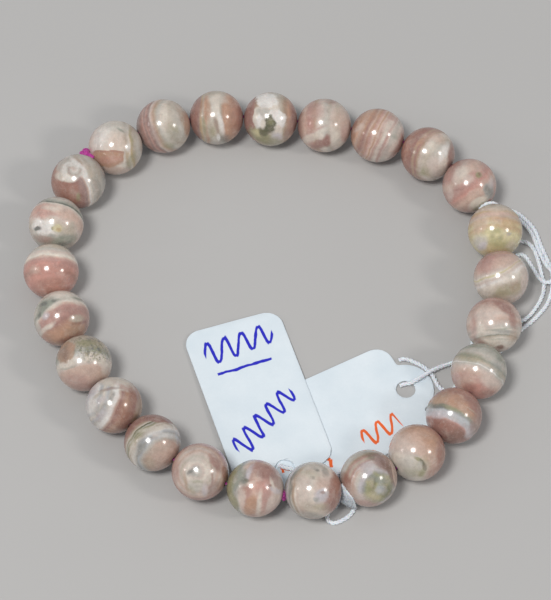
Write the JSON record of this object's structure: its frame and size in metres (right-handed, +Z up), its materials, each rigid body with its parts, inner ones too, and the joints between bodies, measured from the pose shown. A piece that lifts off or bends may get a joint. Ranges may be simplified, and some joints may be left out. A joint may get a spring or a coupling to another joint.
{
  "type": "rhodochrosite bead bracelet",
  "caption": "Stretch bracelet of round polished banded pink stone beads on an elastic cord, lying flat, with two card tags tied on with white thread.",
  "frame": {"origin": "middle of the outline of the ring of beads seen from above, on the surface that the beads rest on", "axes": "+Z up, through the ring; +X along the ring's longer side, towards the beads where the rear tag's thread is tied; +Y away from the tags"},
  "size_m": [0.0724, 0.0657, 0.0075],
  "materials": {
    "rhodochrosite": "polished",
    "elastic": "satin",
    "card": "satin",
    "thread": "matte"
  },
  "bodies": {
    "root": {"bead_01": "rhodochrosite", "bead_02": "rhodochrosite", "bead_03": "rhodochrosite", "bead_04": "rhodochrosite", "bead_05": "rhodochrosite", "bead_06": "rhodochrosite", "bead_07": "rhodochrosite", "bead_08": "rhodochrosite", "bead_09": "rhodochrosite", "bead_10": "rhodochrosite", "bead_11": "rhodochrosite", "bead_12": "rhodochrosite", "bead_13": "rhodochrosite", "bead_14": "rhodochrosite", "bead_15": "rhodochrosite", "bead_16": "rhodochrosite", "bead_17": "rhodochrosite", "bead_18": "rhodochrosite", "bead_19": "rhodochrosite", "bead_20": "rhodochrosite", "bead_21": "rhodochrosite", "bead_22": "rhodochrosite", "bead_23": "rhodochrosite", "bead_24": "rhodochrosite", "bead_25": "rhodochrosite", "elastic_cord": "elastic", "elastic_knot": "elastic", "tag_back": "card", "tag_front": "card", "thread_back_1": "thread", "thread_back_2": "thread", "thread_back_3": "thread", "thread_front": "thread", "thread_knot": "thread"}
  },
  "joints": []
}
